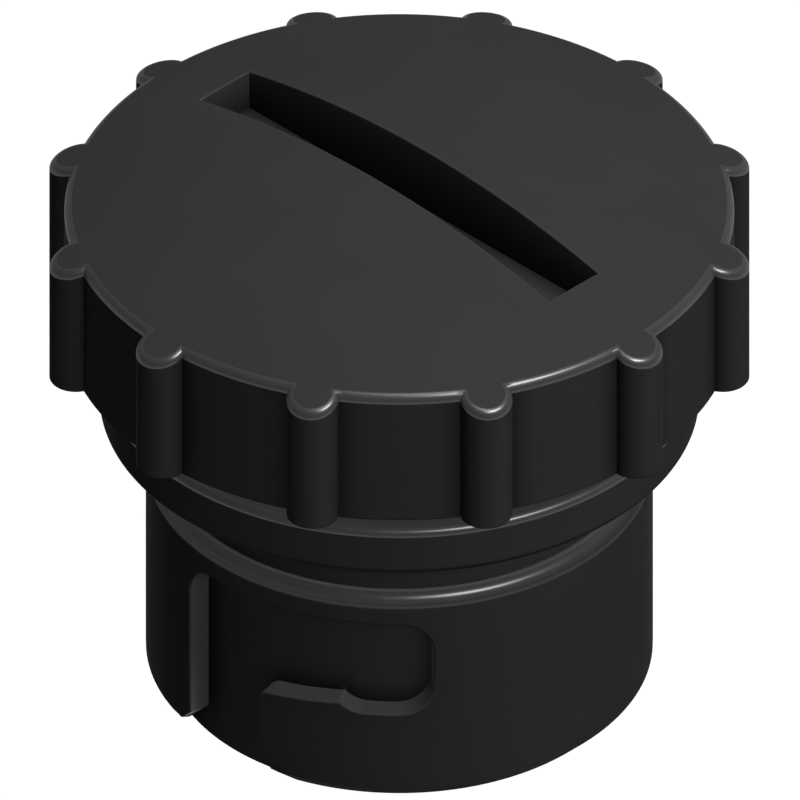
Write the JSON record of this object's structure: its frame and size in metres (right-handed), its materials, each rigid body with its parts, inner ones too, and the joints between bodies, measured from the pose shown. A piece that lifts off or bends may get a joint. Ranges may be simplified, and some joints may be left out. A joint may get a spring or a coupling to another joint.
{
  "type": "protective cap",
  "caption": "Hollow moulded plug cap for a bayonet socket, with flared locking grooves, a flange, a strap gap and a domed, ribbed knob with a coin slot.",
  "frame": {"origin": "centre of the plug's lower rim, on the cap's axis", "axes": "+Z along the cap's axis from the plug towards the knob; +X along the coin slot; the entries of the bayonet grooves face -Y and +Y"},
  "size_m": [0.03, 0.03, 0.025],
  "materials": {
    "cap": "black, satin as moulded"
  },
  "bodies": {
    "root": {"cap": "cap"}
  },
  "joints": []
}
